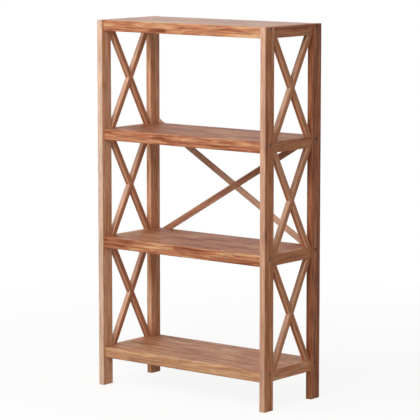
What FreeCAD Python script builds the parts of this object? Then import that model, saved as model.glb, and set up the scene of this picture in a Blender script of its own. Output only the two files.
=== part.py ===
import FreeCAD, Part
import math
import os

# Open shelving unit in oiled hardwood, four shelves high, sold knocked down.
# Two ladder frames stand at the ends: two posts, four end rails, and a pair of
# half-lapped braces in each bay. Four shelves glued up from staves are bolted
# between them, and a thin cross brace, let into the backs of the posts, stiffens
# the middle bay.
# Millimetres. +X is the right end, the front faces -Y, +Z is up. The origin is
# on the floor, under the middle of the unit's box.

Vector = FreeCAD.Vector
X_AXIS = Vector(1, 0, 0)
Y_AXIS = Vector(0, 1, 0)
Z_AXIS = Vector(0, 0, 1)

# Overall sizes
unit_width = 655.0          # over the outer faces of the posts
frame_depth = 280.0         # over the front and back faces of the posts
foot_clearance = 88.0       # floor to the underside of the bottom shelf
lower_bay = 316.0           # clear heights between shelves
middle_bay = 305.0
upper_bay = 305.0

# Posts
post_thickness = 20.0
post_depth = 44.0
post_round = 2.0

# Shelves
stave_count = 5
stave_thickness = 18.0
stave_bevel = 0.8           # on the top edges, so that the glue lines show
apron_height = 16.0
apron_width = 15.0
apron_ease = 1.5
shelf_setback = 6.0         # behind the front and back faces of the posts

# End rails, tenoned between the posts of each ladder frame
rail_recess = 3.0           # behind the outer face of the posts
rail_ease = 1.5
rail_tenon_length = 12.0
rail_tenon_thickness = 9.0
rail_tenon_shoulder = 5.0   # under the tenon
rail_tenon_web = 2.0        # wood left between the tenon's mortise and the bolt hole

# Side braces
brace_width = 20.0
brace_thickness = 17.0
brace_round = 4.0
brace_end_inset = 10.0      # from the post to the bar's axis, along the rail
brace_tenon_length = 8.0
brace_tenon_width = 10.0
brace_tenon_thickness = 8.0

# Back brace
back_brace_width = 20.0
back_brace_ease = 1.0
back_brace_margin = 6.0     # from the bar's end to the outer face of the post
back_brace_end_rise = 5.0   # upper screws, above the top of the upper shelf
back_brace_end_drop = 24.0  # lower screws, below the top of the lower shelf

# Shelf bolts and their barrel nuts
bolt_inset = 27.0           # from the front or back face of the post
bolt_diameter = 6.0
bolt_reach = 40.0           # from the shelf's end to the bolt's tip
bolt_head_diameter = 13.0
bolt_head_height = 3.0
socket_across_flats = 4.0
socket_depth = 2.0
counterbore_depth = 6.0
counterbore_play = 0.5
bolt_hole_play = 0.3
nut_diameter = 10.0
nut_length = 12.0
nut_inset = 30.0            # from the shelf's end to the nut's axis
nut_play = 0.1

# Play of a tenon in its mortise and of a bolt or screw at the end of its hole
tenon_play = 0.1
end_play = 0.4

# Screws of the back brace
screw_diameter = 4.0
screw_head_diameter = 8.0
screw_head_height = 2.4
screw_in_post = 16.0
screw_play = 0.1

# Places that follow from the sizes
half_width = unit_width / 2
inner_x = half_width - post_thickness
front_y = -frame_depth / 2
back_y = frame_depth / 2
bay_front_y = front_y + post_depth
bay_back_y = back_y - post_depth
shelf_front_y = front_y + shelf_setback
shelf_back_y = back_y - shelf_setback
shelf_height = stave_thickness + apron_height
stave_width = (shelf_back_y - shelf_front_y) / stave_count
rail_thickness = post_thickness - rail_recess
rail_middle_x = inner_x + rail_thickness / 2
back_brace_thickness = shelf_setback     # flush with the posts, against the shelves
back_brace_front_y = back_y - back_brace_thickness
back_brace_end_x = half_width - back_brace_margin

SIDES = {"left": -1, "right": 1}
shelf_top = {}
shelf_top["bottom"] = foot_clearance + shelf_height
shelf_top["lower"] = shelf_top["bottom"] + lower_bay + shelf_height
shelf_top["upper"] = shelf_top["lower"] + middle_bay + shelf_height
shelf_top["top"] = shelf_top["upper"] + upper_bay + shelf_height
unit_height = shelf_top["top"]
BAYS = {"lower": ("bottom", "lower"), "middle": ("lower", "upper"), "upper": ("upper", "top")}

# Small round parts and the braces' rounded edges are drawn with flats.
shank_flat_count = 12
head_flat_count = 20
socket_flat_count = 6
round_flat_count = 3

pieces = {}


def block(low, high):
    size = [b - a for a, b in zip(low, high)]
    return Part.makeBox(*size, Vector(*low))


def edges_along(shape, axis):
    """The straight edges of a shape that run along an axis."""
    def runs_along(edge):
        start, end = (vertex.Point for vertex in edge.Vertexes)
        return (end - start).normalize().cross(axis).Length < 1e-6
    return [edge for edge in shape.Edges if runs_along(edge)]


def ring(radius, centre, axis, flats):
    """A regular polygon across X, Y or Z, its corners on a circle."""
    across = Vector(axis.y, axis.z, axis.x)
    up = axis.cross(across)
    turns = [2 * math.pi * step / flats for step in range(flats)]
    corners = [Vector(*centre) + (across * math.cos(turn) + up * math.sin(turn)) * radius for turn in turns]
    return Part.makePolygon(corners + corners[:1])


def rod(radius, start, axis, length, flats):
    return Part.Face(ring(radius, start, axis, flats)).extrude(axis * length)


def bolt_height(level):
    """A bolt enters the shelf at the middle of its staves' thickness."""
    return shelf_top[level] - stave_thickness / 2


def bolt_rows():
    return (front_y + bolt_inset, back_y - bolt_inset)


def bolt_hole(side, row_y, level):
    """Clearance hole through the post and into the shelf, with the head's counterbore."""
    outward = X_AXIS * SIDES[side]
    place = (SIDES[side] * (inner_x - bolt_reach - end_play), row_y, bolt_height(level))
    length = post_thickness + bolt_reach + end_play
    shank = rod(bolt_diameter / 2 + bolt_hole_play, place, outward, length, shank_flat_count)
    seat = (SIDES[side] * (half_width - counterbore_depth), row_y, bolt_height(level))
    bore = rod(bolt_head_diameter / 2 + counterbore_play, seat, outward, counterbore_depth, head_flat_count)
    return shank.fuse(bore)


def nut_hole(side, row_y, level):
    """Blind hole from the underside of the stave, as deep as the nut's top."""
    floor_z = shelf_top[level] - stave_thickness
    depth = bolt_height(level) + nut_length / 2 + nut_play - floor_z
    place = (SIDES[side] * (inner_x - nut_inset), row_y, floor_z)
    return rod(nut_diameter / 2 + nut_play, place, Z_AXIS, depth, shank_flat_count)


def make_bolt(side, row_y, level):
    """Flat-headed connector bolt with a hexagon socket, its head in the counterbore."""
    outward = X_AXIS * SIDES[side]
    seat = Vector(SIDES[side] * (half_width - counterbore_depth), row_y, bolt_height(level))
    head = rod(bolt_head_diameter / 2, seat, outward, bolt_head_height, head_flat_count)
    shank_length = post_thickness - counterbore_depth + bolt_reach
    shank = rod(bolt_diameter / 2, seat, -outward, shank_length, shank_flat_count)
    socket_radius = socket_across_flats / 2 / math.cos(math.pi / socket_flat_count)
    socket_mouth = seat + outward * bolt_head_height
    socket = rod(socket_radius, socket_mouth, -outward, socket_depth, socket_flat_count)
    return head.fuse(shank).cut(socket)


def make_nut(side, row_y, level):
    """Barrel nut: an upright pin with the bolt's cross hole."""
    x = SIDES[side] * (inner_x - nut_inset)
    foot = (x, row_y, bolt_height(level) - nut_length / 2)
    barrel = rod(nut_diameter / 2, foot, Z_AXIS, nut_length, shank_flat_count)
    hole_start = (x - SIDES[side] * nut_diameter, row_y, bolt_height(level))
    hole_radius = bolt_diameter / 2 + nut_play
    return barrel.cut(rod(hole_radius, hole_start, X_AXIS * SIDES[side], 2 * nut_diameter, shank_flat_count))


def rail_tenon(side, end_y, level, play=0.0):
    """Tenon on the end of a rail, below the bolt, or its mortise where play is given."""
    hole_floor = bolt_height(level) - bolt_diameter / 2 - bolt_hole_play
    low_z = shelf_top[level] - shelf_height + rail_tenon_shoulder - play
    high_z = hole_floor - rail_tenon_web + play
    middle_x = SIDES[side] * rail_middle_x
    half = rail_tenon_thickness / 2 + play
    depth = rail_tenon_length + (end_play if play else 0.0)
    low_y, high_y = (end_y - depth, end_y) if end_y == bay_front_y else (end_y, end_y + depth)
    return block((middle_x - half, low_y, low_z), (middle_x + half, high_y, high_z))


def bay_heights(bay):
    below, above = BAYS[bay]
    return shelf_top[below], shelf_top[above] - shelf_height


def brace_ends(bay, lean):
    """The two ends of a side brace's axis, front end first, as (y, z)."""
    low_z, high_z = bay_heights(bay)
    front_z, rear_z = (low_z, high_z) if lean == "rising" else (high_z, low_z)
    return (bay_front_y + brace_end_inset, front_z), (bay_back_y - brace_end_inset, rear_z)


def brace_tenons(side, bay, lean, play=0.0):
    """Stub tenons of a side brace in the rails under and over it, or their mortises."""
    low_z, high_z = bay_heights(bay)
    depth = brace_tenon_length + (end_play if play else 0.0)
    middle_x = SIDES[side] * rail_middle_x
    half = Vector(brace_tenon_thickness / 2 + play, brace_tenon_width / 2 + play, depth / 2)
    tenons = []
    for y, seat_z in brace_ends(bay, lean):
        middle = Vector(middle_x, y, seat_z - depth / 2 if seat_z == low_z else seat_z + depth / 2)
        tenons.append(block(middle - half, middle + half))
    return tenons


def back_brace_ends(lean):
    """The screw points of a back brace, left end first, as (x, z)."""
    screw_x = (inner_x + back_brace_end_x) / 2
    high_z = shelf_top["upper"] + back_brace_end_rise
    low_z = shelf_top["lower"] - back_brace_end_drop
    if lean == "rising":
        return (-screw_x, low_z), (screw_x, high_z)
    return (-screw_x, high_z), (screw_x, low_z)


def back_brace_screw(x, z, play=0.0):
    """Countersunk screw from the back face of the brace into the post, or its hole."""
    neck_y = back_y - screw_head_height
    shank_radius = screw_diameter / 2 + play
    rim = ring(screw_head_diameter / 2 + play, (x, back_y, z), -Y_AXIS, shank_flat_count)
    neck = ring(shank_radius, (x, neck_y, z), -Y_AXIS, shank_flat_count)
    length = neck_y - back_brace_front_y + screw_in_post + (end_play if play else 0.0)
    shank = rod(shank_radius, (x, neck_y, z), -Y_AXIS, length, shank_flat_count)
    return Part.makeLoft([rim, neck], True, True).fuse(shank)


def make_post(side, row):
    """Straight post from the floor to the top shelf, with its bolt holes, mortises and brace housings."""
    low_x, high_x = sorted((SIDES[side] * inner_x, SIDES[side] * half_width))
    low_y = front_y if row == "front" else bay_back_y
    post = block((low_x, low_y, 0), (high_x, low_y + post_depth, unit_height))
    post = post.makeFillet(post_round, edges_along(post, Z_AXIS))
    rail_end_y = bay_front_y if row == "front" else bay_back_y
    row_y = bolt_rows()[0] if row == "front" else bolt_rows()[1]
    holes = []
    for level in shelf_top:
        holes.append(bolt_hole(side, row_y, level))
        holes.append(rail_tenon(side, rail_end_y, level, tenon_play))
    if row == "back":
        for lean in ("rising", "falling"):
            x, z = back_brace_ends(lean)[0 if side == "left" else 1]
            holes.append(back_brace_screw(x, z, screw_play))
            holes.append(back_brace_bar(lean, tenon_play))
    return post.cut(holes)


def make_end_rail(side, level):
    """Rail between the two posts, level with the shelf, with its tenons and the braces' mortises."""
    low_x, high_x = sorted((SIDES[side] * inner_x, SIDES[side] * (inner_x + rail_thickness)))
    top_z = shelf_top[level]
    rail = block((low_x, bay_front_y, top_z - shelf_height), (high_x, bay_back_y, top_z))
    rail = rail.makeChamfer(rail_ease, edges_along(rail, Y_AXIS))
    rail = rail.fuse([rail_tenon(side, end_y, level) for end_y in (bay_front_y, bay_back_y)])
    mortises = []
    for bay, levels in BAYS.items():
        if level in levels:
            for lean in ("rising", "falling"):
                mortises += brace_tenons(side, bay, lean, tenon_play)
    return rail.cut(mortises)


def brace_section(radius):
    """The section of a side brace across Y, its four corners rounded by flats or square."""
    corners = []
    for quarter, (x_sign, z_sign) in enumerate(((1, 1), (-1, 1), (-1, -1), (1, -1))):
        centre = Vector(x_sign * (brace_thickness / 2 - radius), 0, z_sign * (brace_width / 2 - radius))
        for step in range(round_flat_count + 1 if radius else 1):
            turn = math.pi / 2 * (quarter + step / round_flat_count)
            corners.append(centre + Vector(math.cos(turn), 0, math.sin(turn)) * radius)
    return Part.Face(Part.makePolygon(corners + corners[:1]))


def brace_bar(side, bay, lean, rounded):
    """A side brace before its lap is cut, clipped to the corners of its bay."""
    (start_y, start_z), (end_y, end_z) = brace_ends(bay, lean)
    length = math.hypot(end_y - start_y, end_z - start_z) + 2 * brace_width
    section = brace_section(brace_round if rounded else 0.0)
    bar = section.extrude(Y_AXIS * length)
    bar.translate(Y_AXIS * (-length / 2))
    bar.rotate(Vector(), X_AXIS, math.degrees(math.atan2(end_z - start_z, end_y - start_y)))
    middle_x = SIDES[side] * rail_middle_x
    bar.translate(Vector(middle_x, (start_y + end_y) / 2, (start_z + end_z) / 2))
    low_z, high_z = bay_heights(bay)
    bay_low = (middle_x - brace_thickness, bay_front_y, low_z)
    bay_high = (middle_x + brace_thickness, bay_back_y, high_z)
    return bar.common(block(bay_low, bay_high))


def side_of_plane(shape, axis, place, sign):
    """The part of a shape on one side of the plane across an axis."""
    reach = unit_width + frame_depth + unit_height
    low = Vector(-reach, -reach, -reach)
    high = Vector(reach, reach, reach)
    across = Vector(1, 1, 1) - axis
    if sign > 0:
        low = Vector(low.x * across.x, low.y * across.y, low.z * across.z) + axis * place
    else:
        high = Vector(high.x * across.x, high.y * across.y, high.z * across.z) + axis * place
    return shape.common(block(low, high))


def make_side_braces(side, bay):
    """The two braces of a bay, each with half its thickness cut away where they cross."""
    middle_x = SIDES[side] * rail_middle_x
    rising_cutter = side_of_plane(brace_bar(side, bay, "rising", False), X_AXIS, middle_x, 1)
    falling_cutter = side_of_plane(brace_bar(side, bay, "falling", False), X_AXIS, middle_x, -1)
    rising = brace_bar(side, bay, "rising", True).cut(falling_cutter)
    falling = brace_bar(side, bay, "falling", True).cut(rising_cutter)
    rising = rising.fuse(brace_tenons(side, bay, "rising"))
    falling = falling.fuse(brace_tenons(side, bay, "falling"))
    return rising, falling


def back_brace_bar(lean, play=0.0):
    """A back brace before its lap is cut, or square-edged with play, to cut its housings."""
    (start_x, start_z), (end_x, end_z) = back_brace_ends(lean)
    length = math.hypot(end_x - start_x, end_z - start_z) + 2 * post_thickness
    half = Vector(length / 2, back_brace_thickness / 2, back_brace_width / 2 + play)
    bar = block(-half, half)
    if not play:
        bar = bar.makeChamfer(back_brace_ease, edges_along(bar, X_AXIS))
    bar.rotate(Vector(), Y_AXIS, -math.degrees(math.atan2(end_z - start_z, end_x - start_x)))
    bar.translate(Vector(0, back_y - back_brace_thickness / 2, (start_z + end_z) / 2))
    limit = back_brace_end_x + play
    return bar.common(block((-limit, back_brace_front_y, 0), (limit, back_y, unit_height)))


def make_back_braces():
    """The two thin bars on the back, half-lapped where they cross, with their screw holes."""
    lap_y = back_y - back_brace_thickness / 2
    rising_cutter = side_of_plane(back_brace_bar("rising", tenon_play), Y_AXIS, lap_y, -1)
    falling_cutter = side_of_plane(back_brace_bar("falling", tenon_play), Y_AXIS, lap_y, 1)
    rising = back_brace_bar("rising").cut(falling_cutter)
    falling = back_brace_bar("falling").cut(rising_cutter)
    rising = rising.cut([back_brace_screw(x, z, screw_play) for x, z in back_brace_ends("rising")])
    falling = falling.cut([back_brace_screw(x, z, screw_play) for x, z in back_brace_ends("falling")])
    return rising, falling


def make_stave(level, index):
    """One stave of a shelf, as long as the shelf, drilled where the bolts reach it."""
    low_y = shelf_front_y + index * stave_width
    top_z = shelf_top[level]
    stave = block((-inner_x, low_y, top_z - stave_thickness), (inner_x, low_y + stave_width, top_z))
    top_edges = [edge for edge in edges_along(stave, X_AXIS) if edge.CenterOfMass.z > top_z - stave_bevel]
    stave = stave.makeChamfer(stave_bevel, top_edges)
    for side in SIDES:
        for row_y in bolt_rows():
            if low_y < row_y < low_y + stave_width:
                stave = stave.cut([bolt_hole(side, row_y, level), nut_hole(side, row_y, level)])
    return stave


def make_apron(level, row):
    """Strip glued under the front or back edge of a shelf."""
    low_y = shelf_front_y if row == "front" else shelf_back_y - apron_width
    top_z = shelf_top[level] - stave_thickness
    apron = block((-inner_x, low_y, top_z - apron_height), (inner_x, low_y + apron_width, top_z))
    low_edges = [edge for edge in edges_along(apron, X_AXIS) if edge.CenterOfMass.z < top_z - apron_ease]
    return apron.makeChamfer(apron_ease, low_edges)


for side in SIDES:
    for row in ("front", "back"):
        pieces[f"post_{row}_{side}"] = make_post(side, row)
    for level in shelf_top:
        pieces[f"end_rail_{side}_{level}"] = make_end_rail(side, level)
    for bay in BAYS:
        rising, falling = make_side_braces(side, bay)
        pieces[f"side_brace_{side}_{bay}_rising"] = rising
        pieces[f"side_brace_{side}_{bay}_falling"] = falling

for level in shelf_top:
    for index in range(stave_count):
        pieces[f"shelf_{level}_stave_{index + 1}"] = make_stave(level, index)
    for row in ("front", "back"):
        pieces[f"shelf_{level}_{row}_apron"] = make_apron(level, row)

pieces["back_brace_rising"], pieces["back_brace_falling"] = make_back_braces()

bolt_places = [(side, row_y, level) for side in SIDES for row_y in bolt_rows() for level in shelf_top]
screw_points = back_brace_ends("rising") + back_brace_ends("falling")
pieces["shelf_bolts"] = Part.makeCompound([make_bolt(*place) for place in bolt_places])
pieces["barrel_nuts"] = Part.makeCompound([make_nut(*place) for place in bolt_places])
pieces["back_brace_screws"] = Part.makeCompound([back_brace_screw(x, z) for x, z in screw_points])

os.makedirs("parts", exist_ok=True)
for name, shape in pieces.items():
    shape.exportStep(f"parts/{name}.step")
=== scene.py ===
import math

import bmesh
import bpy
from bpy.props import FloatProperty, FloatVectorProperty, IntProperty, PointerProperty
from mathutils import Matrix, Vector


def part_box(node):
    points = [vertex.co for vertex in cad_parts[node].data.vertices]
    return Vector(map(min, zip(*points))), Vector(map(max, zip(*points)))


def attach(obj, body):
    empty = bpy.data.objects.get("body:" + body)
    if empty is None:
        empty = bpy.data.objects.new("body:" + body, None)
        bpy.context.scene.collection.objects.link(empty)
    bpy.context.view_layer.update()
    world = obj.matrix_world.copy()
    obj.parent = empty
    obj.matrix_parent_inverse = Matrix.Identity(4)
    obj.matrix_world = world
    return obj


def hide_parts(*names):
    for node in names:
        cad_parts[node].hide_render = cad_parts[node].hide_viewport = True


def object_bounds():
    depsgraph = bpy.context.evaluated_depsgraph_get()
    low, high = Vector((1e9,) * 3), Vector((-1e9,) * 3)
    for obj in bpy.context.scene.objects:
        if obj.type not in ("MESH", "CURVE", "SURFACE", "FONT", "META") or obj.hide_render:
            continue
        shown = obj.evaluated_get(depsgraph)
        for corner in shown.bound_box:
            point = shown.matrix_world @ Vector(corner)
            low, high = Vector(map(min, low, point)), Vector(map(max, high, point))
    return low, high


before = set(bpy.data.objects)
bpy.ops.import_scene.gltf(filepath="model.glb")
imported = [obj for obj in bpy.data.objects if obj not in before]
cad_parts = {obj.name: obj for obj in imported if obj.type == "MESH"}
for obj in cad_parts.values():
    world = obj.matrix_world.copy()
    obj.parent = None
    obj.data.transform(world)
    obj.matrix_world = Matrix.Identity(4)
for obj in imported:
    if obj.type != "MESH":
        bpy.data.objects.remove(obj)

bl_info = {
    "name": "Braced shelving unit",
    "version": (1, 0, 0),
    "blender": (4, 5, 0),
    "location": "View3D > Sidebar > Shelving",
    "description": "Finishes an open hardwood shelving unit, its hardware and its studio",
    "category": "Object",
}

CAD_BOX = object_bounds()
BODY = "root"
SIDES = {"left": -1, "right": 1}
LEVELS = ("bottom", "lower", "upper", "top")
BAYS = ("lower", "middle", "upper")
ROWS = ("front", "back")
LEANS = {"rising": 1, "falling": -1}
STAVE_COUNT = sum(name.startswith("shelf_top_stave_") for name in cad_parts)
MM = 0.001
GOLDEN = 0.618034
PIECE_STEP = (0.731, 0.317, 0.173)
FAMILY_STEP = (3.1, 1.7, 0.9)
MATH = "ShaderNodeMath"
MIX = "ShaderNodeMix"
RANGE = "ShaderNodeMapRange"
NOISE = "ShaderNodeTexNoise"
MAPPING = "ShaderNodeMapping"
COORDINATES = "ShaderNodeTexCoord"
SPLIT = "ShaderNodeSeparateXYZ"
# Sockets of a mix of two colours.
FACTOR, FIRST, SECOND = 0, 6, 7


def srgb(hex_colour):
    """A hex colour as linear red, green and blue."""
    values = [int(hex_colour[i:i + 2], 16) / 255 for i in (1, 3, 5)]
    return tuple(v / 12.92 if v <= 0.04045 else ((v + 0.055) / 1.055) ** 2.4 for v in values)


def opaque(rgb):
    return (*rgb, 1.0)


WHITE = opaque(srgb("#FFFFFF"))


def colour(name, description, hex_colour):
    return FloatVectorProperty(name=name, description=description, subtype="COLOR", size=3, min=0, max=1,
                               default=srgb(hex_colour))


def length(name, description, millimetres):
    return FloatProperty(name=name, description=description, unit="LENGTH", precision=4,
                         default=millimetres * MM)


def angle(name, description, degrees):
    return FloatProperty(name=name, description=description, subtype="ANGLE", default=math.radians(degrees))


class HardwoodSettings(bpy.types.PropertyGroup):
    """Colours and grain sizes of the oiled hardwood."""
    frame_dark: colour("Frame dark streak", "Darkest streaks in the posts, rails and braces", "#8A4D30")
    frame_heart: colour("Frame heartwood", "Main colour of the posts, rails and braces", "#B97953")
    frame_honey: colour("Frame honey", "Lighter heartwood of the posts, rails and braces", "#C98C65")
    frame_pale: colour("Frame pale streak", "Palest streaks in the posts, rails and braces", "#DDAE8E")
    # Also the colour of worn edges, and of the painted sheen on the front and back faces of the frame.
    frame_sap_and_sheen: colour("Frame sapwood", "Pale sapwood on the narrow faces of the frame", "#D0BAA8")
    shelf_dark: colour("Shelf dark streak", "Darkest streaks in the shelves", "#7C4021")
    shelf_heart: colour("Shelf heartwood", "Main colour of the shelves", "#A6674A")
    shelf_honey: colour("Shelf honey", "Lighter heartwood of the shelves", "#BB825C")
    shelf_pale: colour("Shelf pale streak", "Palest blocks in the shelves", "#D1AB81")
    # Also the colour of worn edges, and of the painted sheen on the front and back faces of the shelves.
    shelf_sap_and_sheen: colour("Shelf sapwood", "Pale sapwood on the edges of the shelves", "#D6B48E")
    frame_streak_width: length("Frame streak width", "Width of a colour streak in the frame", 10)
    frame_streak_length: length("Frame streak length", "Length of a colour streak in the frame", 170)
    shelf_streak_width: length("Shelf streak width", "Width of a colour streak in the shelves", 7)
    shelf_streak_length: length("Shelf streak length", "Length of a colour streak in the shelves", 110)
    fibre_width: length("Fibre width", "Width of the fine fibres, drawn coarse enough to show", 4.2)
    fibre_length: length("Fibre length", "Length of the fine fibres along the grain", 60)
    pore_width: length("Pore width", "Width of an open pore, drawn coarse enough to show", 1.6)
    pore_length: length("Pore length", "Length of an open pore along the grain", 18)
    block_length: length("Block length", "Length of the blocks that a stave is jointed from", 165)
    relief: length("Relief", "Depth of the relief of fibres and pores", 0.3)
    worn_edge: length("Worn edge", "How far rubbing has paled the wood from an edge", 1.6)
    corner_inset: length("Corner inset", "From a side brace's box to the end of its axis", 9)
    back_brace_slope: angle("Back brace slope", "Slope of the thin bars on the back", 30.5)


class HardwareSettings(bpy.types.PropertyGroup):
    """Sizes and colours of the bolts, nuts and screws."""
    zinc: colour("Zinc", "Colour of the zinc plating", "#C8A08C")
    # The dark of the dulled plating is also painted shade, standing in for the shade in the bolts' recesses.
    tarnish_and_shade: colour("Tarnish", "Colour of the plating where it has dulled", "#46322A")
    patch_size: length("Patch size", "Size of a dulled patch in the plating", 4)
    turning_mark: length("Turning mark", "Spacing of the turning marks", 0.7)
    mark_depth: length("Mark depth", "Depth of the turning marks", 0.1)
    bolt_head_radius: length("Bolt head radius", "Half the width of a bolt's head", 6.5)
    bolt_head_height: length("Bolt head height", "Height of a bolt's head", 3)
    bolt_rim: length("Bolt rim", "Rounding on the rim of a bolt's head", 0.9)
    bolt_radius: length("Bolt radius", "Half the diameter of a bolt's shank", 3)
    thread_depth: length("Thread depth", "Depth of the bolt's thread", 0.35)
    thread_pitch: length("Thread pitch", "Distance between the ridges of the bolt's thread", 1)
    thread_ridges: IntProperty(name="Thread ridges", description="Ridges of the thread on a bolt", default=20)
    socket_half: length("Socket half width", "Half the hexagon socket's width across flats", 2)
    socket_depth: length("Socket depth", "Depth of the hexagon socket", 2)
    bolt_length: length("Bolt length", "Length of a bolt under its head", 54)
    nut_radius: length("Nut radius", "Half the diameter of a barrel nut", 5)
    nut_rim: length("Nut rim", "Rounding on the ends of a barrel nut", 0.5)
    slot_width: length("Slot width", "Width of the slot in a barrel nut's end", 1.4)
    slot_depth: length("Slot depth", "Depth of the slot in a barrel nut's end", 1.6)
    screw_head_radius: length("Screw head radius", "Half the width of a screw's head", 4)
    screw_head_height: length("Screw head height", "Height of a screw's countersunk head", 2.4)
    screw_land: length("Screw land", "Height of the straight rim of a screw's head", 0.3)
    screw_radius: length("Screw radius", "Half the diameter of a screw's shank", 2)
    screw_point: length("Screw point", "Length of a screw's tapered point", 3)
    recess_width: length("Recess width", "Width of an arm of a screw's cross recess", 1.1)
    recess_reach: length("Recess reach", "Reach of an arm of a screw's cross recess", 2.4)
    recess_depth: length("Recess depth", "Depth of a screw's cross recess", 1.2)


class StudioSettings(bpy.types.PropertyGroup):
    """Camera, lamps and floor."""
    camera_azimuth: angle("Camera azimuth", "Turn of the camera to the right of the front", 38.48)
    camera_elevation: angle("Camera elevation", "Height of the camera above the horizon", 7.83)
    camera_distance: FloatProperty(name="Camera distance", description="From the aim to the camera",
                                   unit="LENGTH", default=7.154)
    aim: FloatVectorProperty(name="Aim", description="Point that the camera looks at", subtype="XYZ",
                             unit="LENGTH", default=(0.0056, 0.004, 0.569))
    lens: FloatProperty(name="Lens", description="Focal length on a 36 mm sensor", unit="CAMERA",
                        default=198.6)
    key_azimuth: angle("Key azimuth", "Turn of the main lamp to the right of the front", 12)
    key_elevation: angle("Key elevation", "Height of the main lamp above the horizon", 32)
    key_distance: FloatProperty(name="Key distance", description="From the unit to the main lamp",
                                unit="LENGTH", default=2.9)
    key_size: FloatProperty(name="Key size", description="Width of the main lamp", unit="LENGTH", default=1.2)
    key_power: FloatProperty(name="Key power", description="Power of the main lamp", unit="POWER", default=44)
    side_azimuth: angle("Side azimuth", "Turn of the side lamp to the right of the front", -40)
    side_elevation: angle("Side elevation", "Height of the side lamp above the horizon", 36)
    side_distance: FloatProperty(name="Side distance", description="From the unit to the side lamp",
                                 unit="LENGTH", default=3.5)
    side_size: FloatProperty(name="Side size", description="Width of the side lamp", unit="LENGTH",
                             default=2.0)
    side_power: FloatProperty(name="Side power", description="Power of the side lamp", unit="POWER",
                              default=50)
    ambient: FloatProperty(name="Ambient", description="Strength of the light from all round", default=0.3)
    ambient_colour: colour("Ambient colour", "Colour of the light from all round", "#FFEBD8")
    floor_colour: colour("Floor", "Colour of the floor", "#FAFAF8")
    floor_bounce: colour("Floor bounce", "Colour of the floor in the light it throws back", "#CFCBC6")
    floor_size: FloatProperty(name="Floor size", description="Width of the floor", unit="LENGTH",
                              default=40.0)
    shadow: FloatProperty(name="Shadow", description="Share of the floor's own shading that shows",
                          subtype="FACTOR", min=0, max=1, default=0.1)
    shadow_near: FloatProperty(name="Shadow near", description="Where the shadow starts to fade",
                               unit="LENGTH", default=0.5)
    shadow_far: FloatProperty(name="Shadow far", description="Where the shadow has faded out",
                              unit="LENGTH", default=2.2)


class ShelvingSettings(bpy.types.PropertyGroup):
    """All settings of the shelving unit."""
    hardwood: PointerProperty(name="Hardwood", description="The oiled wood", type=HardwoodSettings)
    hardware: PointerProperty(name="Hardware", description="Bolts, nuts and screws", type=HardwareSettings)
    studio: PointerProperty(name="Studio", description="Camera, lamps and floor", type=StudioSettings)


def settings():
    return bpy.context.scene.shelving


def set_inputs(tree, node, inputs):
    """Set or link a node's inputs, given by name or in order.

    A node given as an input is linked from its first output in use.
    """
    for key, value in inputs.items() if isinstance(inputs, dict) else enumerate(inputs):
        if isinstance(value, bpy.types.Node):
            value = next(socket for socket in value.outputs if not socket.is_unavailable)
        if isinstance(value, bpy.types.NodeSocket):
            tree.links.new(value, node.inputs[key])
        else:
            node.inputs[key].default_value = value


def add_node(tree, kind, inputs=(), **options):
    """Add a node with its options and inputs."""
    node = tree.nodes.new(kind)
    for name, value in options.items():
        setattr(node, name, value)
    set_inputs(tree, node, inputs)
    return node


def new_material(name):
    """An empty material with its shader and output."""
    material = bpy.data.materials.new(name)
    material.use_nodes = True
    tree = material.node_tree
    tree.nodes.clear()
    shader = add_node(tree, "ShaderNodeBsdfPrincipled")
    output = add_node(tree, "ShaderNodeOutputMaterial", {"Surface": shader})
    return material, tree, shader, output


def per(size):
    """Texture scale at which one feature has this size in metres."""
    return 1 / size


class Wood:
    """How one piece was cut and used."""

    def __init__(self, kind, turn, place, pale, contrast, painted_face_light=0.0, roughness=0.48, jointed=False,
                 corner_highlight=0.0):
        self.kind = kind
        self.turn = turn
        self.place = place
        # Share of pale wood, and how far the streaks stand out.
        self.pale = pale
        self.contrast = contrast
        # Painted light on the front and back faces: a pale painted sheen above 0, painted shade below 0.
        self.painted_face_light = painted_face_light
        self.roughness = roughness
        # Glued up from short blocks, end to end.
        self.jointed = jointed
        # How far a painted highlight pales the rounded corners.
        self.corner_highlight = corner_highlight


# Stretches of the noise that a pattern uses. The streaks use this much on either side of the middle.
STREAK_BAND = 0.22
NOISE_BAND = (0.3, 0.7)
PORE_BAND = (0.60, 0.68)
# How far the slow drift and the jointed blocks shift the tone, and where two tones lie between the ends.
DRIFT = 0.16
BLOCK_CONTRAST = 0.18
HEART_TONE = 0.34
HONEY_TONE = 0.66
# Darkest and palest fibres against the tone, how dark the pores are and how pale a worn edge.
FIBRE_SHADE = (0.76, 1.22)
PORE_DARKNESS = 0.5
EDGE_WEAR = 0.45
# Height of the fibres against the depth of the pores, and how far the fibres change the sheen.
FIBRE_RELIEF = 0.6
SHEEN_SPREAD = 0.07
# How far outwards a face points where the rounded corners of a bar begin and end.
CORNER_BEGINS = (0.1, 0.2)
CORNER_ENDS = (0.975, 0.985)
ZINC_ROUGHNESS = (0.28, 0.5)


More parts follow.
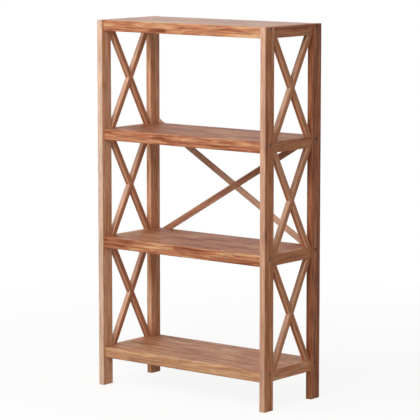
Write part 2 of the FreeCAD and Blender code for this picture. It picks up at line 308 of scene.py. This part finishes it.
def oiled_hardwood(name, wood):
    # Acacia-like hardwood, planed and oiled: long streaks from dark heartwood to pale sapwood, fine fibres,
    # short open pores and a low satin sheen, paler where edges have been rubbed. On some pieces the front and
    # back faces carry a painted sheen, on others painted shade, and the side braces carry a painted highlight
    # on their rounded corners.
    look = settings().hardwood
    dark, heart, honey, pale, sap_and_sheen = (
        opaque(getattr(look, f"{wood.kind}_{tone}")) for tone in ("dark", "heart", "honey", "pale", "sap_and_sheen"))
    material, tree, shader, _ = new_material(name)
    place = add_node(tree, COORDINATES).outputs["Object"]
    grain = add_node(tree, MAPPING, {"Vector": place, "Rotation": wood.turn, "Location": wood.place})

    # One noise, stretched along the grain at four sizes. Real fibres and pores would be too fine to show, so
    # they are drawn as coarse as they need.
    streak_length = getattr(look, f"{wood.kind}_streak_length")
    streak_width = getattr(look, f"{wood.kind}_streak_width")
    # Length, width, detail and distortion of the streaks, their slow drift, the fibres and the pores.
    figures = (
        (streak_length, streak_width, 5.0, 0.9),
        (streak_length * 2, streak_width * 5, 2.0, 0.4),
        (look.fibre_length, look.fibre_width, 3.0, 0.0),
        (look.pore_length, look.pore_width, 2.0, 0.0),
    )
    noises = []
    for along, across, detail, distortion in figures:
        scale = (per(along), per(across), per(across))
        stretched = add_node(tree, MAPPING, {"Vector": grain, "Scale": scale})
        noises.append(add_node(tree, NOISE, {
            "Vector": stretched, "Scale": 1.0, "Detail": detail, "Roughness": 0.55,
            "Distortion": distortion}))
    streaks, drift, fibres, pores = noises

    # The tone of the wood at each point, from dark heartwood at 0 to its palest at 1.
    band = STREAK_BAND / wood.contrast
    streak_tone = add_node(tree, RANGE, (streaks, 0.5 - band, 0.5 + band, 0.0, 1.0))
    drift_tone = add_node(tree, RANGE, (drift, *NOISE_BAND, wood.pale - DRIFT, wood.pale + DRIFT))
    level = add_node(tree, MATH, (streak_tone, drift_tone), operation="ADD")
    if wood.jointed:
        along_grain = add_node(tree, SPLIT, (grain,))
        blocks = add_node(tree, MATH, (along_grain, per(look.block_length)), operation="MULTIPLY")
        block = add_node(tree, MATH, (blocks,), operation="FLOOR")
        draw = add_node(tree, "ShaderNodeTexWhiteNoise", {"W": block}, noise_dimensions="1D")
        block_tone = add_node(tree, RANGE, (draw, 0.0, 1.0, -BLOCK_CONTRAST, BLOCK_CONTRAST))
        level = add_node(tree, MATH, (level, block_tone), operation="ADD")
    toned = add_node(tree, "ShaderNodeValToRGB", (level,))
    stops = toned.color_ramp.elements
    stops[0].position = 0.0
    stops[0].color = dark
    stops[1].position = 1.0
    stops[1].color = pale
    for position, tone in ((HEART_TONE, heart), (HONEY_TONE, honey)):
        stops.new(position).color = tone

    face = add_node(tree, "ShaderNodeNewGeometry").outputs["True Normal"]
    face_x, face_y, _ = add_node(tree, SPLIT, (face,)).outputs
    # Painted light by the way a face points: a pale painted sheen on faces towards the front or back, painted
    # shade where the share is below 0.
    if wood.painted_face_light:
        facing = add_node(tree, MATH, (face_y,), operation="ABSOLUTE")
        painted_face_share = add_node(tree, MATH, (facing, abs(wood.painted_face_light)), operation="MULTIPLY")
        side = sap_and_sheen if wood.painted_face_light > 0 else dark
        toned = add_node(tree, MIX, {FACTOR: painted_face_share, FIRST: toned, SECOND: side}, data_type="RGBA")
    # Painted highlight on the rounded corners of a bar.
    if wood.corner_highlight:
        outward = add_node(tree, MATH, (face_x,), operation="ABSOLUTE")
        inner = add_node(tree, RANGE, (outward, *CORNER_BEGINS, 0.0, 1.0))
        outer = add_node(tree, RANGE, (outward, *CORNER_ENDS, wood.corner_highlight, 0.0))
        corner = add_node(tree, MATH, (inner, outer), operation="MULTIPLY")
        toned = add_node(tree, MIX, {FACTOR: corner, FIRST: toned, SECOND: pale}, data_type="RGBA")

    shade = add_node(tree, RANGE, (fibres, *NOISE_BAND, *FIBRE_SHADE))
    fibred = add_node(tree, MIX, {FACTOR: 1.0, FIRST: toned, SECOND: shade}, data_type="RGBA",
                      blend_type="MULTIPLY")
    pore = add_node(tree, RANGE, (pores, *PORE_BAND, 0.0, 1.0))
    pore_share = add_node(tree, MATH, (pore, PORE_DARKNESS), operation="MULTIPLY")
    pored = add_node(tree, MIX, {FACTOR: pore_share, FIRST: fibred, SECOND: dark}, data_type="RGBA")

    # Rubbing has paled the edges, more on the raised fibres.
    rounded = add_node(tree, "ShaderNodeBevel", {"Radius": look.worn_edge}, samples=4)
    alike = add_node(tree, "ShaderNodeVectorMath", (rounded, face), operation="DOT_PRODUCT")
    edge = add_node(tree, RANGE, (alike, 0.99, 0.86, 0.0, EDGE_WEAR))
    raised = add_node(tree, RANGE, (fibres, 0.35, 0.6, 0.4, 1.0))
    wear = add_node(tree, MATH, (edge, raised), operation="MULTIPLY")
    worn = add_node(tree, MIX, {FACTOR: wear, FIRST: pored, SECOND: sap_and_sheen}, data_type="RGBA")

    relief = add_node(tree, MATH, (fibres, FIBRE_RELIEF), operation="MULTIPLY")
    height = add_node(tree, MATH, (relief, pore), operation="SUBTRACT")
    bump = add_node(tree, "ShaderNodeBump", {"Height": height, "Strength": 0.35, "Distance": look.relief})
    rough, smooth = wood.roughness + SHEEN_SPREAD, wood.roughness - SHEEN_SPREAD
    sheen = add_node(tree, RANGE, (fibres, 0.25, 0.75, rough, smooth))
    set_inputs(tree, shader, {
        "Base Color": worn, "Roughness": sheen, "Normal": bump, "IOR": 1.5, "Specular IOR Level": 0.25})
    return material


def zinc_on_turned_steel():
    # Zinc plating on turned steel: satin and brown-grey, dulled in patches, with fine turning marks. The dark
    # of the dulled patches is also painted shade, standing in for the shade in the bolts' recesses. The marks
    # are drawn coarser than real ones, which would be too fine to show.
    look = settings().hardware
    material, tree, shader, _ = new_material("zinc_on_turned_steel")
    place = add_node(tree, COORDINATES).outputs["Object"]
    patches = add_node(tree, NOISE, {"Vector": place, "Scale": per(look.patch_size), "Detail": 3.0})
    marks = add_node(tree, NOISE, {"Vector": place, "Scale": per(look.turning_mark), "Detail": 2.0})
    zinc, tarnish_and_shade = opaque(look.zinc), opaque(look.tarnish_and_shade)
    tint = add_node(tree, MIX, {FACTOR: patches, FIRST: zinc, SECOND: tarnish_and_shade}, data_type="RGBA")
    gloss = add_node(tree, RANGE, (marks, 0.0, 1.0, *ZINC_ROUGHNESS))
    bump = add_node(tree, "ShaderNodeBump", {"Height": marks, "Strength": 0.2, "Distance": look.mark_depth})
    set_inputs(tree, shader, {"Base Color": tint, "Roughness": gloss, "Normal": bump, "Metallic": 1.0})
    return material


def finish_node(name, material):
    """Give a node of the unit one finish all over."""
    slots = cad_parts[name].data.materials
    slots.clear()
    slots.append(material)


def log_place(index, family):
    """A place in the log for each piece, so that no two pieces show the same grain."""
    return tuple(step * index + jump * family for step, jump in zip(PIECE_STEP, FAMILY_STEP))


def share(index, low, high):
    """A value between low and high that differs from piece to piece in a fixed, even way."""
    return low + (high - low) * ((index * GOLDEN) % 1.0)


# Shares of pale wood that set the pieces apart, and shares of painted light on the front and back faces: a
# pale painted sheen above 0, painted shade below 0.
# The left posts are paler and the back right post darker: partly the posts' own tone, partly painted light on
# the left posts and painted shade on the back right one.
POST_TONES = {
    ("front", "left"): 0.44, ("front", "right"): 0.0, ("back", "left"): 0.26, ("back", "right"): -0.34}
POST_PAINTED_LIGHT = {
    ("front", "left"): 0.66, ("front", "right"): 0.4, ("back", "left"): 0.06, ("back", "right"): -0.2}
RAIL_TONES = {"bottom": 0.18, "lower": 0.04, "upper": -0.02, "top": -0.16}
BRACE_PAINTED_LIGHT = {"rising": 0.5, "falling": -0.5}
SHELF_TONES = {"bottom": 0.06, "lower": -0.08, "upper": -0.14, "top": 0.02}
SHELF_PAINTED_LIGHT = {"bottom": 0.3, "lower": 0.0, "upper": 0.0, "top": 0.0}
SHELF_ROUGHNESS = {"bottom": 0.5, "lower": 0.5, "upper": 0.5, "top": 0.34}
BACK_BRACE_TONES = {"rising": -0.26, "falling": 0.36}
BACK_BRACE_PAINTED_LIGHT = {"rising": 0.2, "falling": 0.5}


class SHELVING_OT_finish_posts(bpy.types.Operator):
    """Oil the posts, with the grain upright"""
    bl_idname = "shelving.finish_posts"
    bl_label = "Finish posts"

    def execute(self, context):
        upright = (0, math.radians(90), 0)
        for index, (row, side) in enumerate((row, side) for row in ROWS for side in SIDES):
            wood = Wood("frame", upright, log_place(index, family=1), POST_TONES[row, side], contrast=1.05,
                        painted_face_light=POST_PAINTED_LIGHT[row, side])
            name = f"post_{row}_{side}"
            finish_node(name, oiled_hardwood(f"oiled_hardwood_{name}", wood))
        return {"FINISHED"}


class SHELVING_OT_finish_rails(bpy.types.Operator):
    """Oil the end rails, with the grain from front to back"""
    bl_idname = "shelving.finish_rails"
    bl_label = "Finish end rails"

    def execute(self, context):
        front_to_back = (0, 0, math.radians(-90))
        for index, (side, level) in enumerate((side, level) for side in SIDES for level in LEVELS):
            tone = RAIL_TONES[level] + share(index, -0.04, 0.04)
            wood = Wood("frame", front_to_back, log_place(index, family=2), tone, contrast=0.9)
            name = f"end_rail_{side}_{level}"
            finish_node(name, oiled_hardwood(f"oiled_hardwood_{name}", wood))
        return {"FINISHED"}


class SHELVING_OT_finish_side_braces(bpy.types.Operator):
    """Oil the crossing side braces, with the grain along each bar"""
    bl_idname = "shelving.finish_side_braces"
    bl_label = "Finish side braces"

    def execute(self, context):
        inset = settings().hardwood.corner_inset
        places = [(side, bay, lean) for side in SIDES for bay in BAYS for lean in LEANS]
        for index, (side, bay, lean) in enumerate(places):
            name = f"side_brace_{side}_{bay}_{lean}"
            low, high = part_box(name)
            slope = math.atan2(high.z - low.z - 2 * inset, high.y - low.y - 2 * inset)
            along_bar = (-LEANS[lean] * slope, 0, math.radians(-90))
            wood = Wood("frame", along_bar, log_place(index, family=3), share(index, -0.08, 0.08),
                        contrast=0.8, painted_face_light=BRACE_PAINTED_LIGHT[lean], corner_highlight=0.8)
            finish_node(name, oiled_hardwood(f"oiled_hardwood_{name}", wood))
        return {"FINISHED"}


class SHELVING_OT_finish_shelves(bpy.types.Operator):
    """Oil the jointed staves and the aprons of the shelves, with the grain along the unit"""
    bl_idname = "shelving.finish_shelves"
    bl_label = "Finish shelves"

    def execute(self, context):
        lengthwise = (0, 0, 0)
        strips = [f"stave_{index + 1}" for index in range(STAVE_COUNT)] + [f"{row}_apron" for row in ROWS]
        places = [(level, strip) for level in LEVELS for strip in strips]
        for index, (level, strip) in enumerate(places):
            name = f"shelf_{level}_{strip}"
            tone = SHELF_TONES[level] + share(index, -0.08, 0.08)
            wood = Wood("shelf", lengthwise, log_place(index, family=4), tone, contrast=1.25,
                        painted_face_light=SHELF_PAINTED_LIGHT[level], roughness=SHELF_ROUGHNESS[level], jointed=True)
            finish_node(name, oiled_hardwood(f"oiled_hardwood_{name}", wood))
        return {"FINISHED"}


class SHELVING_OT_finish_back_brace(bpy.types.Operator):
    """Oil the two thin bars on the back, with the grain along each bar"""
    bl_idname = "shelving.finish_back_brace"
    bl_label = "Finish back brace"

    def execute(self, context):
        slope = settings().hardwood.back_brace_slope
        for index, lean in enumerate(LEANS):
            name = f"back_brace_{lean}"
            along_bar = (0, LEANS[lean] * slope, 0)
            wood = Wood("frame", along_bar, log_place(index, family=5), BACK_BRACE_TONES[lean],
                        contrast=0.7, painted_face_light=BACK_BRACE_PAINTED_LIGHT[lean])
            finish_node(name, oiled_hardwood(f"oiled_hardwood_{name}", wood))
        return {"FINISHED"}


# Sides of the turned pieces. A bolt's is a multiple of six, for the corners of its socket.
BOLT_SIDES = 30
NUT_SIDES = 32
SCREW_SIDES = 28
SCREW_TIP = 0.25
FLAT = 0.99
SHARP = math.radians(35)


def solid_boxes(node):
    """The box of each separate solid in a node, from its loose triangles."""
    bm = bmesh.new()
    bm.from_mesh(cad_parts[node].data)
    bmesh.ops.remove_doubles(bm, verts=bm.verts, dist=0.01 * MM)
    waiting = set(bm.verts)
    boxes = []
    while waiting:
        patch = [waiting.pop()]
        for vert in patch:
            near = {edge.other_vert(vert) for edge in vert.link_edges} & waiting
            waiting -= near
            patch.extend(near)
        corners = list(zip(*(vert.co for vert in patch)))
        boxes.append((Vector(map(min, corners)), Vector(map(max, corners))))
    bm.free()
    return sorted(boxes, key=lambda box: tuple(round(v, 4) for v in box[0]))


def move_face(bm, face, shift, scale=1.0):
    """Extrude a face, move the new one and scale it about its middle. Returns the new face."""
    made = bmesh.ops.extrude_face_region(bm, geom=[face])["geom"]
    new_face = next(part for part in made if isinstance(part, bmesh.types.BMFace))
    bmesh.ops.delete(bm, geom=[face], context="FACES_ONLY")
    middle = new_face.calc_center_median()
    bmesh.ops.scale(bm, vec=(scale, scale, 1), verts=new_face.verts, space=Matrix.Translation(-middle))
    bmesh.ops.translate(bm, vec=shift, verts=new_face.verts)
    return new_face


def end_face(bm, sign):
    """The flat end of a turned piece that faces up or down."""
    flat = [face for face in bm.faces if face.normal.z * sign > FLAT]
    return max(flat, key=lambda face: face.calc_center_median().z * sign)


def turned_blank(bm, radius, height, segments):
    """A round blank along Z, from the origin up."""
    bmesh.ops.create_cone(bm, cap_ends=True, segments=segments, radius1=radius, radius2=radius, depth=height,
                          matrix=Matrix.Translation((0, 0, height / 2)))


def round_rim(bm, face, width):
    bmesh.ops.bevel(bm, geom=list(face.edges), affect="EDGES", offset=width, segments=3, profile=0.5,
                    material=-1)


def connector_bolt(bm):
    """A connector bolt with its head up, its underside at the origin."""
    look = settings().hardware
    turned_blank(bm, look.bolt_head_radius, look.bolt_head_height, BOLT_SIDES)
    round_rim(bm, end_face(bm, 1), look.bolt_rim)
    corner = look.socket_half / math.cos(math.radians(30))
    top = end_face(bm, 1)
    scale = corner / max(vert.co.xy.length for vert in top.verts)
    mouth = move_face(bm, top, (0, 0, 0), scale)
    for vert in mouth.verts:
        turn = math.atan2(vert.co.y, vert.co.x) % math.radians(60) - math.radians(30)
        flat = look.socket_half / math.cos(turn)
        vert.co.xy = vert.co.xy.normalized() * flat
    move_face(bm, mouth, (0, 0, -look.socket_depth))
    tip = move_face(bm, end_face(bm, -1), (0, 0, 0), look.bolt_radius / look.bolt_head_radius)
    threaded = look.thread_ridges * look.thread_pitch
    tip = move_face(bm, tip, (0, 0, -(look.bolt_length - threaded)))
    root = 1 - look.thread_depth / look.bolt_radius
    for ridge in range(look.thread_ridges):
        tip = move_face(bm, tip, (0, 0, -look.thread_pitch / 2), root)
        last = ridge == look.thread_ridges - 1
        tip = move_face(bm, tip, (0, 0, -look.thread_pitch / 2), 1 if last else 1 / root)


def barrel_nut(bm, height):
    """A barrel nut along Z from the origin up, with the slot that turns it in its lower end."""
    look = settings().hardware
    turned_blank(bm, look.nut_radius, height, NUT_SIDES)
    round_rim(bm, end_face(bm, 1), look.nut_rim)
    round_rim(bm, end_face(bm, -1), look.nut_rim)
    for sign in (1, -1):
        cut = end_face(bm, -1)
        bmesh.ops.bisect_plane(bm, geom=[cut, *cut.edges, *cut.verts],
                               plane_co=(0, sign * look.slot_width / 2, 0), plane_no=(0, 1, 0))
        bm.faces.ensure_lookup_table()
    ends = [face for face in bm.faces if face.normal.z < -FLAT and face.calc_center_median().z < 0.1 * MM]
    slot = min(ends, key=lambda face: abs(face.calc_center_median().y))
    move_face(bm, slot, (0, 0, look.slot_depth))


def cross_screw(bm, reach):
    """A countersunk screw with its head up, the flat of the head at the origin."""
    look = settings().hardware
    turned_blank(bm, look.screw_head_radius, look.screw_land, SCREW_SIDES)
    bmesh.ops.translate(bm, vec=(0, 0, -look.screw_land), verts=bm.verts)
    tip = move_face(bm, end_face(bm, -1), (0, 0, -(look.screw_head_height - look.screw_land)),
                    look.screw_radius / look.screw_head_radius)
    tip = move_face(bm, tip, (0, 0, -(reach - look.screw_head_height - look.screw_point)))
    move_face(bm, tip, (0, 0, -look.screw_point), SCREW_TIP)
    top = end_face(bm, 1)
    pieces = [top, *top.edges, *top.verts]
    half = look.recess_width / 2
    for normal in ((1, 0, 0), (0, 1, 0)):
        for offset in (-look.recess_reach, -half, half, look.recess_reach):
            point = Vector(normal) * offset
            pieces = bmesh.ops.bisect_plane(bm, geom=pieces, plane_co=point, plane_no=normal)["geom"]

    def in_cross(face):
        middle = face.calc_center_median()
        near, far = sorted((abs(middle.x), abs(middle.y)))
        return near < half and far < look.recess_reach

    cross = [part for part in pieces if isinstance(part, bmesh.types.BMFace) and in_cross(part)]
    made = bmesh.ops.extrude_face_region(bm, geom=cross)["geom"]
    floor = [part for part in made if isinstance(part, bmesh.types.BMVert)]
    bmesh.ops.delete(bm, geom=cross, context="FACES_ONLY")
    bmesh.ops.translate(bm, vec=(0, 0, -look.recess_depth), verts=floor)


def set_of(name, shape, places, node):
    """One object with a copy of a shape at each place, standing for a node of the unit."""
    bm = bmesh.new()
    for place in places:
        one = bmesh.new()
        shape(one)
        bmesh.ops.recalc_face_normals(one, faces=one.faces)
        one.transform(place)
        scratch = bpy.data.meshes.new("scratch")
        one.to_mesh(scratch)
        one.free()
        bm.from_mesh(scratch)
        bpy.data.meshes.remove(scratch)
    mesh = bpy.data.meshes.new(name)
    bm.to_mesh(mesh)
    bm.free()
    mesh.shade_smooth()
    mesh.set_sharp_from_angle(angle=SHARP)
    piece = bpy.data.objects.new(name, mesh)
    bpy.context.scene.collection.objects.link(piece)
    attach(piece, BODY)
    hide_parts(node)
    return piece


def steel():
    return bpy.data.materials.get("zinc_on_turned_steel") or zinc_on_turned_steel()


class SHELVING_OT_make_bolts(bpy.types.Operator):
    """Make the recessed bolts that hold the shelves to the posts"""
    bl_idname = "shelving.make_bolts"
    bl_label = "Make shelf bolts"

    def execute(self, context):
        look = settings().hardware
        places = []
        for low, high in solid_boxes("shelf_bolts"):
            middle = (low + high) / 2
            outward = 1 if middle.x > 0 else -1
            seat_x = (high.x if outward > 0 else low.x) - outward * look.bolt_head_height
            seat = Matrix.Translation((seat_x, middle.y, middle.z))
            places.append(seat @ Matrix.Rotation(outward * math.radians(90), 4, "Y"))
        bolts = set_of("connector_bolts", connector_bolt, places, "shelf_bolts")
        bolts.data.materials.append(steel())
        return {"FINISHED"}


class SHELVING_OT_make_nuts(bpy.types.Operator):
    """Make the slotted barrel nuts in the undersides of the shelves"""
    bl_idname = "shelving.make_nuts"
    bl_label = "Make barrel nuts"

    def execute(self, context):
        boxes = solid_boxes("barrel_nuts")
        height = max(high.z - low.z for low, high in boxes)
        places = []
        for low, high in boxes:
            middle = (low + high) / 2
            places.append(Matrix.Translation((middle.x, middle.y, low.z)))
        nuts = set_of("slotted_barrel_nuts", lambda bm: barrel_nut(bm, height), places, "barrel_nuts")
        nuts.data.materials.append(steel())
        return {"FINISHED"}


class SHELVING_OT_make_screws(bpy.types.Operator):
    """Make the countersunk screws that hold the back brace"""
    bl_idname = "shelving.make_screws"
    bl_label = "Make back brace screws"

    def execute(self, context):
        boxes = solid_boxes("back_brace_screws")
        reach = max(high.y - low.y for low, high in boxes)
        places = []
        for low, high in boxes:
            middle = (low + high) / 2
            seat = Matrix.Translation((middle.x, high.y, middle.z))
            places.append(seat @ Matrix.Rotation(math.radians(-90), 4, "X"))
        screws = set_of("countersunk_screws", lambda bm: cross_screw(bm, reach), places, "back_brace_screws")
        screws.data.materials.append(steel())
        return {"FINISHED"}


def direction(azimuth, elevation):
    """Unit vector from the unit towards a place round it."""
    return Vector((math.sin(azimuth) * math.cos(elevation), -math.cos(azimuth) * math.cos(elevation),
                   math.sin(elevation)))


def seen_directly(tree):
    """1 for rays that show the background itself: from the camera, a mirror or glass."""
    path = add_node(tree, "ShaderNodeLightPath").outputs
    shown = add_node(tree, MATH, (path["Is Camera Ray"], path["Is Glossy Ray"]), operation="MAXIMUM")
    return add_node(tree, MATH, (shown, path["Is Transmission Ray"]), operation="MAXIMUM")


def studio_world():
    """White where it is seen, and a softer light from all round on the unit."""
    look = settings().studio
    world = bpy.data.worlds.new("studio")
    bpy.context.scene.world = world
    world.use_nodes = True
    tree = world.node_tree
    tree.nodes.clear()
    light = add_node(tree, "ShaderNodeBackground", (opaque(look.ambient_colour), look.ambient))
    white = add_node(tree, "ShaderNodeBackground", (WHITE, 1.0))
    mix = add_node(tree, "ShaderNodeMixShader", (seen_directly(tree), light, white))
    add_node(tree, "ShaderNodeOutputWorld", {"Surface": mix})


def painted_floor():
    # Matt white paint: it keeps a faint soft shadow near the unit and runs out to white.
    look = settings().studio
    material, tree, shader, output = new_material("painted_floor")
    seen = seen_directly(tree)
    bounce, white_paint = opaque(look.floor_bounce), opaque(look.floor_colour)
    paint = add_node(tree, MIX, {FACTOR: seen, FIRST: bounce, SECOND: white_paint}, data_type="RGBA")
    set_inputs(tree, shader, {"Base Color": paint, "Roughness": 0.9, "Specular IOR Level": 0.1})
    white = add_node(tree, "ShaderNodeEmission", (WHITE, 1.0))
    place = add_node(tree, COORDINATES).outputs["Object"]
    away = add_node(tree, "ShaderNodeVectorMath", (place,), operation="LENGTH")
    fade = add_node(tree, RANGE, (away, look.shadow_near, look.shadow_far, 1 - look.shadow, 1.0))
    shown = add_node(tree, MATH, (fade, seen), operation="MULTIPLY")
    mix = add_node(tree, "ShaderNodeMixShader", (shown, shader, white))
    set_inputs(tree, output, {"Surface": mix})
    return material


def studio_floor():
    look = settings().studio
    bm = bmesh.new()
    bmesh.ops.create_grid(bm, x_segments=1, y_segments=1, size=look.floor_size / 2)
    mesh = bpy.data.meshes.new("floor")
    bm.to_mesh(mesh)
    bm.free()
    mesh.materials.append(painted_floor())
    floor = bpy.data.objects.new("floor", mesh)
    bpy.context.scene.collection.objects.link(floor)


def studio_lamp(name, azimuth, elevation, distance, size, power):
    """A square soft lamp that faces the middle of the unit."""
    towards = direction(azimuth, elevation)
    data = bpy.data.lights.new(name, "AREA")
    data.shape = "SQUARE"
    data.size = size
    data.energy = power
    lamp = bpy.data.objects.new(name, data)
    bpy.context.scene.collection.objects.link(lamp)
    middle = (CAD_BOX[0] + CAD_BOX[1]) / 2
    lamp.location = middle + towards * distance
    lamp.rotation_euler = (-towards).to_track_quat("-Z", "Y").to_euler()


def studio_camera():
    look = settings().studio
    towards = direction(look.camera_azimuth, look.camera_elevation)
    data = bpy.data.cameras.new("camera")
    data.lens = look.lens
    data.sensor_width = 36.0
    camera = bpy.data.objects.new("camera", data)
    bpy.context.scene.collection.objects.link(camera)
    camera.location = Vector(look.aim) + towards * look.camera_distance
    camera.rotation_euler = (-towards).to_track_quat("-Z", "Y").to_euler()
    bpy.context.scene.camera = camera


class SHELVING_OT_make_studio(bpy.types.Operator):
    """Make the floor, the lamps, the world and the camera"""
    bl_idname = "shelving.make_studio"
    bl_label = "Make studio"

    def execute(self, context):
        look = settings().studio
        context.scene.view_settings.view_transform = "Standard"
        studio_world()
        studio_floor()
        studio_lamp("key_lamp", look.key_azimuth, look.key_elevation, look.key_distance, look.key_size,
                    look.key_power)
        studio_lamp("side_lamp", look.side_azimuth, look.side_elevation, look.side_distance, look.side_size,
                    look.side_power)
        studio_camera()
        return {"FINISHED"}


OPERATORS = (
    SHELVING_OT_finish_posts,
    SHELVING_OT_finish_rails,
    SHELVING_OT_finish_side_braces,
    SHELVING_OT_finish_shelves,
    SHELVING_OT_finish_back_brace,
    SHELVING_OT_make_bolts,
    SHELVING_OT_make_nuts,
    SHELVING_OT_make_screws,
    SHELVING_OT_make_studio,
)


class SHELVING_PT_panel(bpy.types.Panel):
    """Steps that finish the shelving unit"""
    bl_label = "Shelving unit"
    bl_idname = "SHELVING_PT_panel"
    bl_space_type = "VIEW_3D"
    bl_region_type = "UI"
    bl_category = "Shelving"

    def draw(self, context):
        for operator in OPERATORS:
            self.layout.operator(operator.bl_idname)


CLASSES = (
    HardwoodSettings,
    HardwareSettings,
    StudioSettings,
    ShelvingSettings,
    *OPERATORS,
    SHELVING_PT_panel,
)


def register():
    for cls in CLASSES:
        bpy.utils.register_class(cls)
    bpy.types.Scene.shelving = PointerProperty(type=ShelvingSettings)


def unregister():
    del bpy.types.Scene.shelving
    for cls in reversed(CLASSES):
        bpy.utils.unregister_class(cls)


def main():
    register()
    for operator in OPERATORS:
        family, step = operator.bl_idname.split(".")
        getattr(getattr(bpy.ops, family), step)()


if __name__ == "__main__":
    main()
